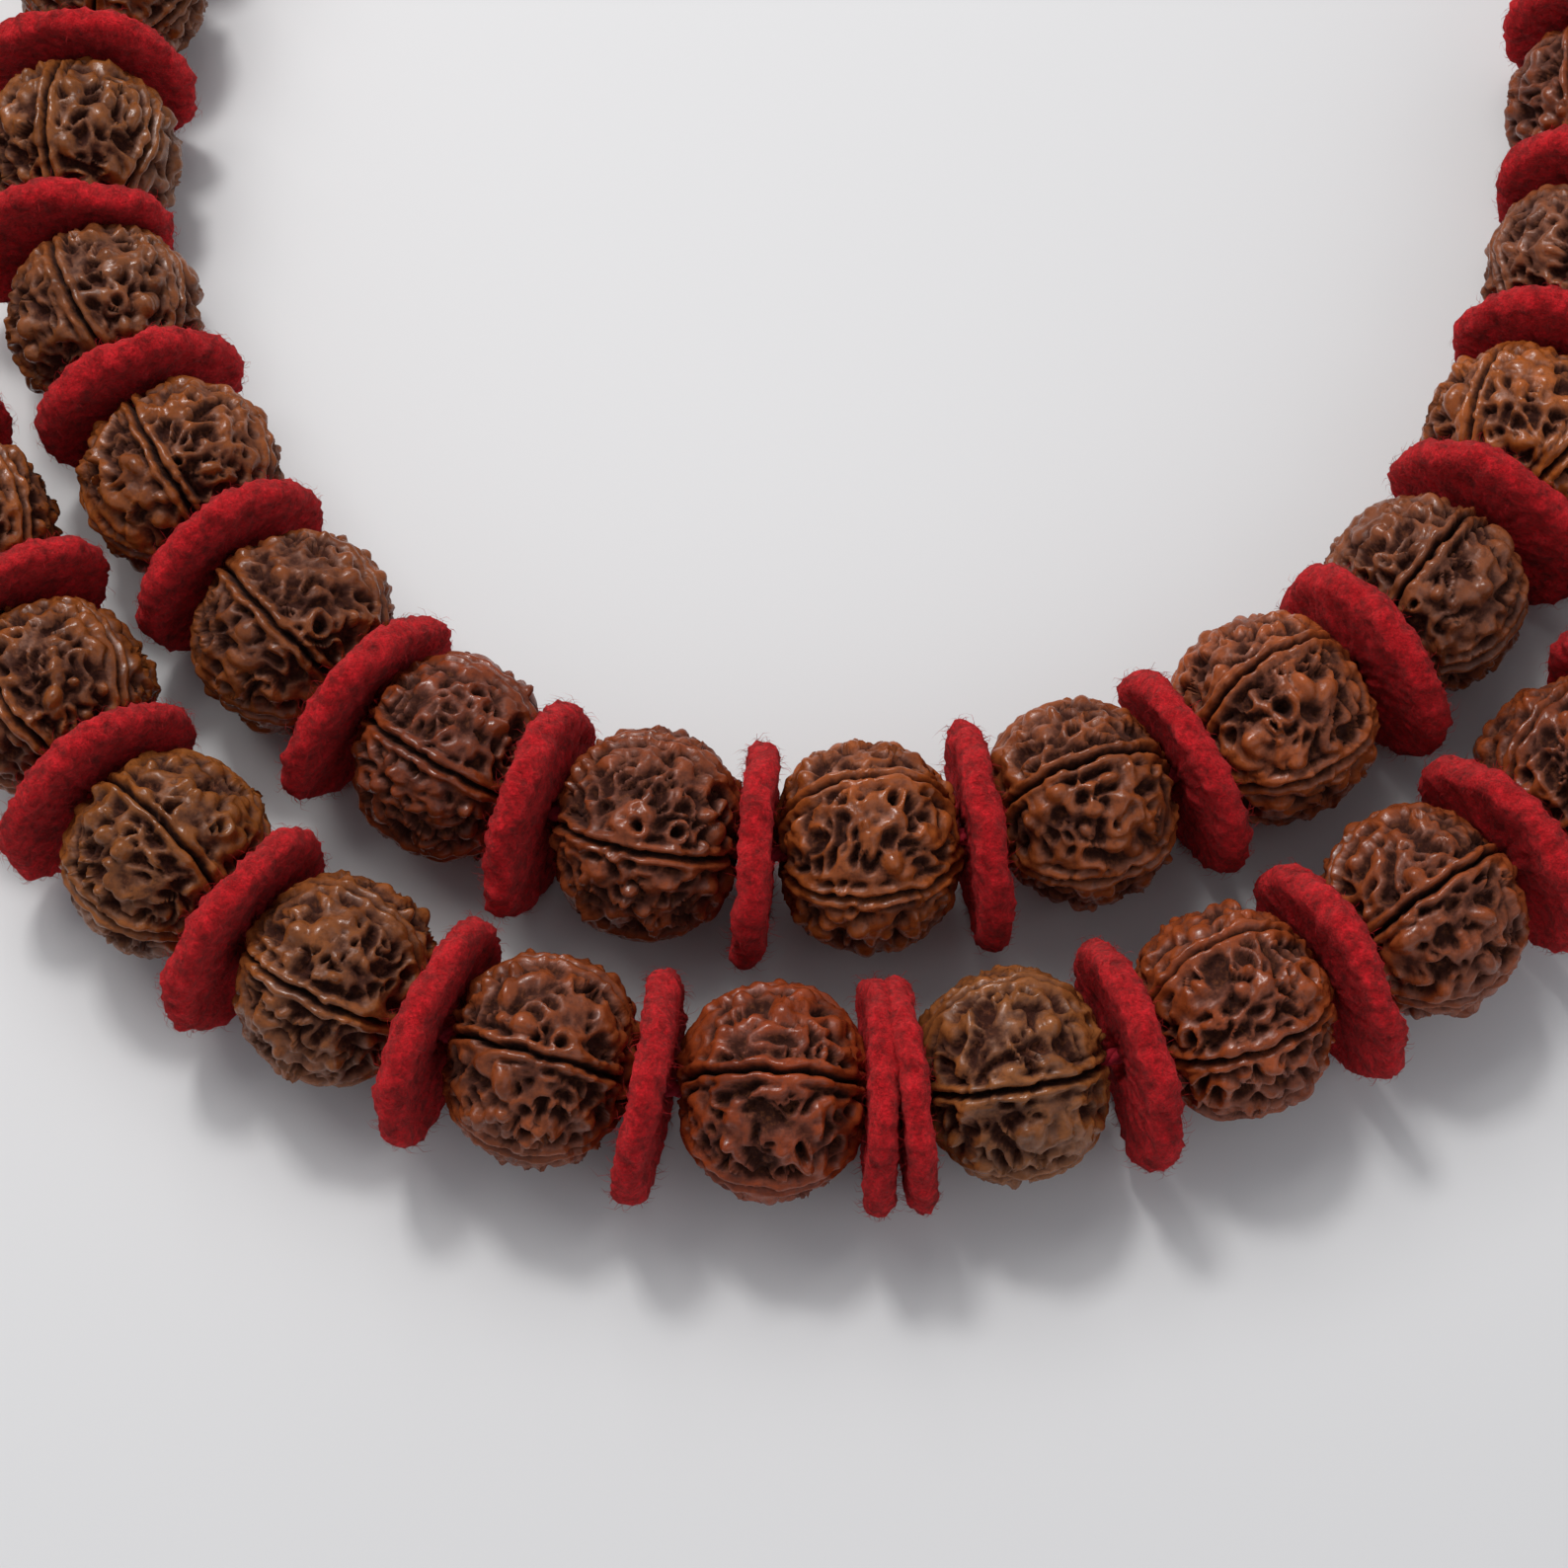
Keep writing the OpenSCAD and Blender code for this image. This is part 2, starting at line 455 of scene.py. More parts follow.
def node(tree, kind, **values):
    made = tree.nodes.new(kind)
    for key, value in values.items():
        setattr(made, key, value)
    return made


def noise_node(tree, place, scale, detail, roughness):
    made = node(tree, "ShaderNodeTexNoise")
    made.inputs["Scale"].default_value = scale
    made.inputs["Detail"].default_value = detail
    made.inputs["Roughness"].default_value = roughness
    tree.links.new(place, made.inputs["Vector"])
    return made.outputs["Fac"]


def ramp_node(tree, factor, stops):
    made = node(tree, "ShaderNodeValToRGB")
    ramp = made.color_ramp
    while len(ramp.elements) < len(stops):
        ramp.elements.new(0.5)
    for element, (place, colour) in zip(ramp.elements, stops):
        element.position = place
        element.color = (*colour, 1)
    tree.links.new(factor, made.inputs["Fac"])
    return made.outputs["Color"]


def mix_node(tree, factor, first, second, how="MIX"):
    """Mixes two colours; each is a socket or a colour."""
    made = node(tree, "ShaderNodeMix", data_type="RGBA", blend_type=how)
    ends = (made.inputs[0], made.inputs[6], made.inputs[7])
    for end, value in zip(ends, (factor, first, second)):
        if isinstance(value, bpy.types.NodeSocket):
            tree.links.new(value, end)
        elif isinstance(value, float):
            end.default_value = value
        else:
            end.default_value = (*value, 1)
    return made.outputs[2]


def math_node(tree, how, first, second):
    made = node(tree, "ShaderNodeMath", operation=how)
    for end, value in zip(made.inputs, (first, second)):
        if isinstance(value, bpy.types.NodeSocket):
            tree.links.new(value, end)
        else:
            end.default_value = value
    return made.outputs[0]


def map_range(tree, value, low, high):
    made = node(tree, "ShaderNodeMapRange")
    made.inputs["To Min"].default_value = low
    made.inputs["To Max"].default_value = high
    tree.links.new(value, made.inputs["Value"])
    return made.outputs["Result"]


def bump(tree, shader, height, strength, distance):
    made = node(tree, "ShaderNodeBump")
    made.inputs["Strength"].default_value = strength
    made.inputs["Distance"].default_value = distance
    tree.links.new(height, made.inputs["Height"])
    tree.links.new(made.outputs["Normal"], shader.inputs["Normal"])


def seed_material(settings):
    """Waxy brown crests over near-black crevices, mottled; the near-black is partly the seed's dark
    debris and partly painted shade.
    """
    material, tree, shader = start_material("ridged seed")
    place = node(tree, "ShaderNodeTexCoord").outputs["Object"]
    relief = node(tree, "ShaderNodeAttribute", attribute_name="relief").outputs["Fac"]
    tone = node(tree, "ShaderNodeAttribute", attribute_name="tone").outputs["Color"]
    mottle = noise_node(tree, place, 260, 5, 0.6)
    grain = noise_node(tree, place, 1500, 4, 0.65)
    wrinkle = noise_node(tree, place, 620, 3, 0.5)
    blotch = ramp_node(tree, mottle, [(0.30, (0.60, 0.54, 0.52)), (0.52, (1.0, 1.0, 1.0)),
                                      (0.75, (1.30, 1.20, 1.10))])
    crest = mix_node(tree, 1.0, tone, blotch, "MULTIPLY")
    speck = ramp_node(tree, grain, [(0.33, (0.55, 0.50, 0.48)), (0.50, (1.0, 1.0, 1.0))])
    crest = mix_node(tree, 0.7, crest, speck, "MULTIPLY")
    wobble = math_node(tree, "MULTIPLY", math_node(tree, "SUBTRACT", grain, 0.5), 0.35)
    depth = math_node(tree, "ADD", relief, wobble)
    # Darker toward the bottom of the relief: painted shade in the hollows, together with the seed's own
    # dark debris
    share = ramp_node(tree, depth, [(0.12, (0, 0, 0)), (0.40, (0.10, 0.10, 0.10)),
                                    (0.66, (0.55, 0.55, 0.55)), (0.92, (1, 1, 1))])
    # Hollow colour: near-black painted shade mixed with the seed's dark debris, with lighter debris
    # specks by grain
    painted_shade_and_debris = ramp_node(tree, grain, [(0.50, tuple(settings.crevice_shade_and_debris)), (0.68, (0.11, 0.030, 0.010))])
    colour = mix_node(tree, share, painted_shade_and_debris, crest)
    tree.links.new(colour, shader.inputs["Base Color"])
    tree.links.new(map_range(tree, share, 1.0, 0.20), shader.inputs["Roughness"])
    shader.inputs["Specular IOR Level"].default_value = 0.36
    rough_grain = math_node(tree, "MULTIPLY", grain, map_range(tree, share, 5.0, 1.0))
    height = math_node(tree, "ADD", math_node(tree, "MULTIPLY", wrinkle, 1.4), rough_grain)
    bump(tree, shader, height, 0.4, 0.00014)
    return material


def felt_material(colour):
    """Matted red wool with clumps, thin light fibres and a soft sheen."""
    material, tree, shader = start_material("red wool felt")
    place = node(tree, "ShaderNodeTexCoord").outputs["Object"]
    clump = noise_node(tree, place, 700, 5, 0.7)
    hair = noise_node(tree, place, 2600, 6, 0.8)
    base = Vector(colour)
    shade = ramp_node(tree, clump, [(0.32, tuple(base * 0.36)), (0.50, tuple(base)),
                                    (0.68, tuple(base * 1.45 + Vector((0.02, 0.006, 0.008))))])
    fibre = ramp_node(tree, hair, [(0.36, (0.45, 0.42, 0.42)), (0.52, (1.0, 1.0, 1.0)),
                                   (0.68, (1.45, 1.5, 1.5))])
    tree.links.new(mix_node(tree, 0.8, shade, fibre, "MULTIPLY"), shader.inputs["Base Color"])
    shader.inputs["Roughness"].default_value = 0.95
    shader.inputs["Specular IOR Level"].default_value = 0.15
    shader.inputs["Sheen Weight"].default_value = 0.18
    shader.inputs["Sheen Roughness"].default_value = 0.5
    shader.inputs["Sheen Tint"].default_value = (1.0, 0.38, 0.34, 1)
    height = math_node(tree, "ADD", clump, math_node(tree, "MULTIPLY", hair, 0.7))
    bump(tree, shader, height, 1.0, 0.0007)
    return material


def thread_material(name, colour, rough, gloss, metal=0.0):
    """Spun thread: fine lengthwise colour changes and a little sheen."""
    material, tree, shader = start_material(name)
    place = node(tree, "ShaderNodeTexCoord").outputs["Object"]
    spun = noise_node(tree, place, 1400, 4, 0.6)
    base = Vector(colour)
    shade = ramp_node(tree, spun, [(0.30, tuple(base * 0.55)), (0.55, tuple(base)),
                                   (0.75, tuple(base * 1.25))])
    tree.links.new(shade, shader.inputs["Base Color"])
    shader.inputs["Roughness"].default_value = rough
    shader.inputs["Metallic"].default_value = metal
    shader.inputs["Specular IOR Level"].default_value = gloss
    bump(tree, shader, spun, 0.5, 0.00015)
    return material


def floor_material(colour):
    material, tree, shader = start_material("plain floor")
    place = node(tree, "ShaderNodeTexCoord").outputs["Object"]
    cloud = noise_node(tree, place, 6, 2, 0.5)
    base = Vector(colour)
    shade = ramp_node(tree, cloud, [(0.35, tuple(base * 0.985)), (0.65, tuple(base))])
    tree.links.new(shade, shader.inputs["Base Color"])
    shader.inputs["Roughness"].default_value = 0.7
    return material


# ---------------------------------------------------------------- seeds


def cube_ball(cuts):
    """Points spread evenly over a ball, with the mesh that joins them: a cube, cut finely."""
    bm = bmesh.new()
    bmesh.ops.create_cube(bm, size=2)
    bmesh.ops.subdivide_edges(bm, edges=bm.edges, cuts=cuts, use_grid_fill=True)
    mesh = mesh_from(bm, "seed_start")
    spread = np.tan(mesh_points(mesh) * math.pi / 4)
    return mesh, spread / np.linalg.norm(spread, axis=1, keepdims=True)


def gather_at_slits(directions, slits):
    """Moves the directions round the bore toward the slits, so that these get more points."""
    angle = np.arctan2(directions[:, 1], directions[:, 0])
    off = (angle[:, None] - slits[None] + math.pi) % (2 * math.pi) - math.pi
    nearest = np.argmin(np.abs(off), axis=1)
    off = off[np.arange(len(angle)), nearest]
    order = np.argsort(slits % (2 * math.pi))
    ring = slits[order] % (2 * math.pi)
    step_up = (np.roll(ring, -1) - ring) % (2 * math.pi) / 2
    half_up = np.zeros(len(slits))
    half_up[order] = step_up
    half_down = np.zeros(len(slits))
    half_down[order] = np.roll(step_up, 1)
    half = np.where(off >= 0, half_up[nearest], half_down[nearest])
    off = np.sign(off) * half * (np.abs(off) / half) ** 1.25
    around = np.hypot(directions[:, 0], directions[:, 1])
    angle = slits[nearest] + off
    moved = np.stack([around * np.cos(angle), around * np.sin(angle), directions[:, 2]], axis=1)
    return moved, off


def random_ways(draw, count):
    """Unit vectors in every direction."""
    ways = draw.normal(size=(count, 3))
    return ways / np.linalg.norm(ways, axis=1, keepdims=True)


def one_over_reach(spot, radius, half_length):
    """One over the distance from a seed's middle to its surface, in a spot's direction."""
    return np.linalg.norm(spot / [radius, radius, half_length])


def ridge_network(base, place, wave):
    """Winding, round ridges of uneven height with hollows between them, and their crest height."""
    broad = 1 + 0.50 * wave[5](base / 3.6 + 23)
    first = round_ridge(wave[3](place / 2.35), 0.23 * broad)
    second = round_ridge(wave[4](place / 2.8), 0.17 * broad)
    net = 1 - (1 - first) * (1 - 0.92 * second)
    crest = 0.02 + 0.60 * wave[6](base / 1.7) + 0.30 * wave[7](base / 5.0)
    filled = smoothstep(0.22, 0.50, wave[5](base / 4.2 + 11))
    lumpy = crest + 0.30 * wave[1](base / 1.3 + 4)
    floor = HOLLOW + 0.42 * wave[2](base / 1.1)
    height = blend_values(floor, crest, net)
    return blend_values(height, lumpy, 0.8 * filled), crest


def add_knobs(height, bent, draw, radius, half_length):
    """Knobs and short worms that stand on the network, with sharp creases between them."""
    for spot in random_ways(draw, KNOBS):
        away = bent - spot / one_over_reach(spot, radius, half_length)
        lie = np.cross(spot, draw.normal(size=3))
        lie /= np.linalg.norm(lie)
        wide = draw.uniform(0.60, 1.40)
        stretch = draw.uniform(0.0, 0.80)
        far = np.sum(away ** 2, axis=1) - stretch * (away @ lie) ** 2
        dome = np.clip(1 - far / wide ** 2, 0, 1) ** 0.62
        top = draw.uniform(0.15, 0.95)
        height = np.maximum(height, KNOB_FOOT + (top - KNOB_FOOT) * dome)
    return height


def add_holes(height, crest, place, draw, radius, half_length):
    """Round holes with raised rims."""
    for spot in random_ways(draw, HOLES):
        reach = 1 / one_over_reach(spot, radius, half_length)
        far = np.linalg.norm(place - spot * reach, axis=1)
        wide = draw.uniform(0.30, 0.72)
        rim = np.exp(-((far - 1.6 * wide) / (0.38 * wide + 0.14)) ** 2)
        height = np.maximum(height, blend_values(height, crest + 0.42, rim))
        height -= (1.4 + wide) * np.exp(-(far / wide) ** 4)
    return height


def add_slits(height, base, girth, off, wave, number):
    """Slits from pole to pole between raised, wavy lips, each lip with a fold beside it."""
    split = girth * off + 0.16 * wave[8](base / 1.8 + 3) + 0.1 * np.sin(base[:, 2] * 1.3 + number)
    fade = smoothstep(2.2, 4.2, girth)
    gap = np.abs(split)
    lip = np.exp(-((gap - LIP_AWAY) / LIP_WIDE) ** 2) * fade
    lip_height = 0.42 + 0.30 * wave[6](base / 1.3 + 9)
    height = blend_values(height, lip_height, 0.88 * lip)
    fold = np.exp(-((gap - FOLD_AWAY) / FOLD_WIDE) ** 2) * fade
    height -= FOLD_DEEP * (fold * smoothstep(-0.2, 0.3, wave[7](base / 1.7)))
    height -= SLIT_DEEP * np.exp(-(split / SLIT_WIDE) ** 2) * fade
    return height


def seed_shape(directions, number, radius, half_length):
    """The points of one seed in millimetres, with its bore along Z, and each one's share of the relief.

    The share is 0 at the bottom of the hollows and 1 on the crests.
    """
    draw = np.random.default_rng(RELIEF_DRAW + number)
    slits = np.arange(SLITS) * 2 * math.pi / SLITS
    slits[1:] += draw.uniform(-0.09, 0.09, SLITS - 1)
    way, off = gather_at_slits(directions, slits)
    around = np.hypot(way[:, 0], way[:, 1])
    size = (around / radius) ** BODY_POWER + (np.abs(way[:, 2]) / half_length) ** BODY_POWER
    size = size ** (-1 / BODY_POWER)
    base = way * size[:, None]
    girth = around * size
    wave = [Noise(number * 20 + k) for k in range(9)]
    shift = np.stack([wave[k](base / 3.0 + 5) for k in range(3)], axis=1)
    place = base + 0.75 * shift
    height, crest = ridge_network(base, place, wave)
    height = add_knobs(height, base + 0.35 * shift, draw, radius, half_length)
    height = add_holes(height, crest, place, draw, radius, half_length)
    height = add_slits(height, base, girth, off, wave, number)

    # Rough debris in the hollows, a fine unevenness everywhere, and the bore's mouths
    deep = smoothstep(-0.3, -0.9, height)
    height += 0.36 * wave[2](base / 0.52) * deep + 0.06 * wave[1](base / 0.8)
    height -= BORE_DEEP * np.exp(-(girth / BORE_WIDE) ** 4)
    height = np.clip(height, LOWEST, HIGHEST)
    return base + way * height[:, None], smoothstep(-1.30, 0.55, height)


def seed_tone(number):
    """Colour of a seed's crests; one that isn't in the table gets a plain tone, varied a little."""
    if number in SEED_TONE:
        return np.array(SEED_TONE[number])
    draw = np.random.default_rng(TONE_DRAW + number)
    return np.array(PLAIN_TONE) * draw.uniform(0.82, 1.15) * np.array([1, draw.uniform(0.9, 1.2), 1])


def slit_turn(number):
    """Turn of a seed about its bore; one that isn't in the table gets some turn between two slits."""
    return SLIT_TURN.get(number, number * 47 % (360 // SLITS))


def make_seed(name, number, start, settings, material, at, way, grow, body, cad_node):
    """One seed in its place. start holds the mesh that all the seeds begin from and its directions."""
    mesh_start, directions = start
    mesh = mesh_start.copy()
    mesh.name = name
    points, relief = seed_shape(
        directions, number, settings.radius / MM * grow, settings.half_length / MM * grow)
    placed = points @ axes_about(way, slit_turn(number)).T * MM + np.array(at)
    placed[:, 2] = np.maximum(placed[:, 2], FLOOR_CLEARANCE)
    set_points(mesh, placed)
    float_layer(mesh, "relief", relief)
    tone = np.ones((len(points), 4))
    tone[:, :3] = seed_tone(number)
    colour_layer(mesh, "tone", tone)
    return new_piece(name, mesh, material, body, [cad_node])


class MALA_OT_seeds(bpy.types.Operator):
    """Makes the 36 seeds and the guru bead."""

    bl_idname = "mala.seeds"
    bl_label = "Seeds"

    def execute(self, context):
        settings = context.scene.mala_seeds
        layout = Layout()
        material = seed_material(settings)
        start = cube_ball(settings.cuts)
        for i in range(1, BEADS + 1):
            draw = np.random.default_rng(SIZE_DRAW + i)
            grow = LARGEST_GROW if i == LARGEST_SEED else draw.uniform(0.975, 1.01)
            make_seed(
                f"seed_{i:02d}", i, start, settings, material, layout.bead[i], layout.way[i],
                grow, f"turning_bead_{i:02d}", f"bead_{i:02d}")
        make_seed(
            "guru_seed", GURU_NUMBER, start, settings, material, layout.guru, layout.guru_way,
            LARGEST_GROW, "guru", "guru_bead")
        bpy.data.meshes.remove(start[0])
        return {"FINISHED"}


# ---------------------------------------------------------------- felt


def felt_profile(radius, thickness, hole):
    """Outline of a felt disc's cut face: a puffy rim and a rounded hole."""
    half = thickness / 2
    rim = [(radius - half + half * math.cos(a), half * math.sin(a))
           for a in np.linspace(-math.pi / 2, math.pi / 2, 9)]
    top = [(r, half * 0.93) for r in np.linspace(radius - half, hole + half * 0.4, 7)[1:]]
    inner = [(hole, half * 0.45), (hole, -half * 0.45)]
    low = [(r, -z) for r, z in reversed(top)]
    return rim + top + inner + low


def felt_shape(start, number, settings):
    """One disc's points in metres with its bore along Z: wavy edge, clumps, a cupped face."""
    draw = np.random.default_rng(FELT_DRAW + number)
    wave = [Noise(FELT_NOISE + number * 10 + k) for k in range(5)]
    radius = settings.radius
    girth = np.hypot(start[:, 0], start[:, 1])
    share = girth / radius
    out = start[:, :2] / girth[:, None]
    ring = np.c_[out * 1.1, np.zeros(len(out))]
    edge = 1 + (0.07 * wave[0](ring + 2) + 0.03 * wave[0](ring * 2.7 + 9)) * share
    points = start.copy()
    points[:, :2] *= edge[:, None]
    points[:, :2] *= [1 + draw.uniform(-0.02, 0.02), 1 + draw.uniform(-0.02, 0.02)]
    thick = 1 + 0.22 * wave[1](start / MM / 4) + 0.10 * share ** 3
    points[:, 2] *= thick

    # Clumps push the surface out, most at the rim
    outward = np.c_[out * smoothstep(0.8, 1.0, share)[:, None], start[:, 2] / settings.thickness]
    outward /= np.maximum(np.linalg.norm(outward, axis=1, keepdims=True), 1e-9)
    clump = 0.34 * wave[2](start / MM / 1.3) + 0.32 * wave[3](start / MM / 0.62)
    points += outward * clump[:, None] * MM

    # The face is cupped and bent
    bend = draw.uniform(0, math.pi)
    along = (start[:, 0] * math.cos(bend) + start[:, 1] * math.sin(bend)) / radius
    points[:, 2] += (draw.uniform(-0.6, 0.6) * share ** 2 + draw.uniform(-0.7, 0.7) * along ** 2
                     + 0.35 * wave[4](start / MM / 6)) * MM
    return points


def fibre_lines(points, start, number, settings):
    """Root, middle and tip of each loose fibre; they leave the surface near the rim and curl."""
    draw = np.random.default_rng(FIBRE_DRAW + number)
    girth = np.hypot(start[:, 0], start[:, 1])
    outer = np.flatnonzero(girth > settings.radius * 0.72)
    lines = []
    for pick in draw.choice(outer, settings.fibres):
        at = points[pick]
        away = np.array([start[pick, 0], start[pick, 1], start[pick, 2] * 5])
        away /= np.linalg.norm(away)
        side = np.cross(away, draw.normal(size=3))
        side /= np.linalg.norm(side)
        curl = np.cross(side, away)
        length = draw.uniform(0.5, 1.6) * MM
        lift = draw.uniform(0.10, 0.65)
        bow = draw.uniform(-1.0, 1.0)
        steps = np.linspace(0, 1, 3)[:, None]
        line = at - away * 0.15 * MM + length * (
            side * steps + away * lift * np.sin(steps * 2.2) + curl * bow * steps ** 2)
        lines.append(line)
    return lines


def fuzz_mesh(name, lines, radius):
    """Three-sided fibres, each from a root and a middle to a point."""
    points = []
    faces = []
    for root, middle, tip in lines:
        way = tip - root
        side = np.cross(way, [0.3, 0.5, 0.8])
        side *= radius / np.linalg.norm(side)
        top = np.cross(way, side) / np.linalg.norm(way)
        first = len(points)
        for at, share in ((root, 1.0), (middle, 0.8)):
            for angle in (0, 2 * math.pi / 3, 4 * math.pi / 3):
                points.append(at + share * (side * math.cos(angle) + top * math.sin(angle)))
        points.append(tip)
        faces.append([first + 2, first + 1, first])
        for k in range(3):
            after = (k + 1) % 3
            faces.append([first + k, first + after, first + 3 + after, first + 3 + k])
            faces.append([first + 3 + k, first + 3 + after, first + 6])
    mesh = bpy.data.meshes.new(name)
    mesh.from_pydata([tuple(point) for point in points], [], faces)
    return mesh


class MALA_OT_felt(bpy.types.Operator):
    """Makes the 38 felt discs, one in every gap and two in one."""

    bl_idname = "mala.felt"
    bl_label = "Felt discs"

    def execute(self, context):
        settings = context.scene.mala_felt
        layout = Layout()
        material = felt_material(settings.colour)
        disc = mesh_from(
            lathe(felt_profile(settings.radius, settings.thickness, settings.hole), 128),
            "disc_start")
        start = mesh_points(disc)
        number = 0
        for gap in range(BEADS + 1):
            sides = (-1, 1) if gap == DOUBLE_GAP else (0,)
            for side in sides:
                number += 1
                self.make_disc(layout, settings, material, disc, start, gap, side, number)
        bpy.data.meshes.remove(disc)
        return {"FINISHED"}

    def make_disc(self, layout, settings, material, disc, start, gap, side, number):
        """One disc of a gap. side is 0 where it is alone there, and -1 or 1 in the pair."""
        draw = np.random.default_rng(DISC_DRAW + number)
        points = felt_shape(start, number, settings)
        lines = fibre_lines(points, start, number, settings)
        lean = draw.uniform(-3.5, 3.5, 2)
        if side:
            lean = np.zeros(2)
        turned = np.array(
            Matrix.Rotation(math.radians(lean[0]), 3, "X")
            @ Matrix.Rotation(math.radians(lean[1]), 3, "Y"))
        way = layout.disc_way(gap)
        axes = axes_about(way)
        at = np.array(layout.gap[gap] + way * (side * PAIR_SLIDE))

        def place(local):
            if side:
                # The pair is squeezed, and leans together on the side away from the camera
                local = local * [1, 1, PAIR_SQUEEZE]
                local = local - [0, 0, 1] * (side * PAIR_LEAN * local[:, 1:2])
            world = local @ turned.T @ axes.T + at
            world[:, 2] = np.maximum(world[:, 2], FLOOR_CLEARANCE)
            return world

        body = disc.copy()
        set_points(body, place(points))
        fuzz = fuzz_mesh("fuzz", [place(line) for line in lines], FIBRE_RADIUS)
        name = f"felt_disc_{number:02d}"
        piece = new_piece(
            name, joined(name, [body, fuzz]), material, link_of_gap(gap), [felt_node(gap)])


# ---------------------------------------------------------------- cord, knot and tassel


def twisted(line, radius):
    """The strands of a laid cord along a line of points that is nowhere upright."""
    line = np.asarray(line, float)
    steps = np.linalg.norm(np.diff(line, axis=0), axis=1)
    along = np.r_[0, np.cumsum(steps)]
    count = max(6, int(along[-1] / STRAND_STEP))
    at = np.linspace(0, along[-1], count)
    centre = np.stack([np.interp(at, along, line[:, k]) for k in range(3)], axis=1)
    way = np.gradient(centre, axis=0)
    way /= np.linalg.norm(way, axis=1, keepdims=True)
    side = np.cross(way, UP)
    side /= np.linalg.norm(side, axis=1, keepdims=True)
    top = np.cross(side, way)
    strands = []
    for k in range(STRANDS):
        angle = (2 * math.pi * (at / STRAND_LAY + k / STRANDS))[:, None]
        off = side * np.cos(angle) + top * np.sin(angle)
        strands.append(centre + radius * STRAND_AWAY * off)
    return strands


class MALA_OT_cord(bpy.types.Operator):
    """Makes the laid cord, one piece for each stiff link, which meet inside the discs."""

    bl_idname = "mala.cord"
    bl_label = "Stringing cord"

    def execute(self, context):
        settings = context.scene.mala_cord
        layout = Layout()
        material = thread_material("laid cord", settings.colour, 0.8, 0.25)
        strand = settings.radius * STRAND_RADIUS
        runs = {}
        for k in range(1, OUTER_LINKS + 1):
            last = LAST_OUTER_GAP if k == OUTER_LINKS else 2 * k
            runs[f"outer_link_{k}"] = [layout.gap[g] for g in range(2 * k - 2, last + 1)]
        for k in range(1, INNER_LINKS + 1):
            first = LAST_OUTER_GAP if k == INNER_LINKS else BEADS - 2 * k
            runs[f"inner_link_{k}"] = [layout.gap[g] for g in range(first, BEADS - 2 * k + 3)]
        for link, line in runs.items():
            name = "cord_" + link
            mesh = thread_mesh(name, twisted(line, settings.radius), strand, 2)
            new_piece(name, mesh, material, link, ["stringing_cord"])

        # Both ends leave their last discs and run side by side through the guru bead to the knot
        out = layout.guru_way
        apart = out.cross(UP) * ENDS_APART
        mouth = layout.guru - out * GURU_MOUTH
        ends = []
        for gap, bead, side in ((0, 1, 1), (BEADS, BEADS, -1)):
            lead = layout.way[bead] * (-side * DISC_LEAD)
            line = [layout.gap[gap], layout.gap[gap] + lead, mouth + apart * side,
                    layout.knot + apart * side - out * KNOT_LEAD]
            ends += twisted(line, settings.radius)
        mesh = thread_mesh("cord_guru", ends, strand, 2)
        new_piece("cord_guru", mesh, material, "guru", ["stringing_cord"])
        return {"FINISHED"}


def knot_line(size):
    """A line that winds over itself round a ball, as in a closing knot."""
    turns = np.linspace(0, 2 * math.pi, 240, endpoint=False)
    wide = size * (0.62 + 0.30 * np.cos(5 * turns))
    return np.stack([
        wide * np.cos(3 * turns), wide * np.sin(3 * turns), size * 0.72 * np.sin(5 * turns)
    ], axis=1)


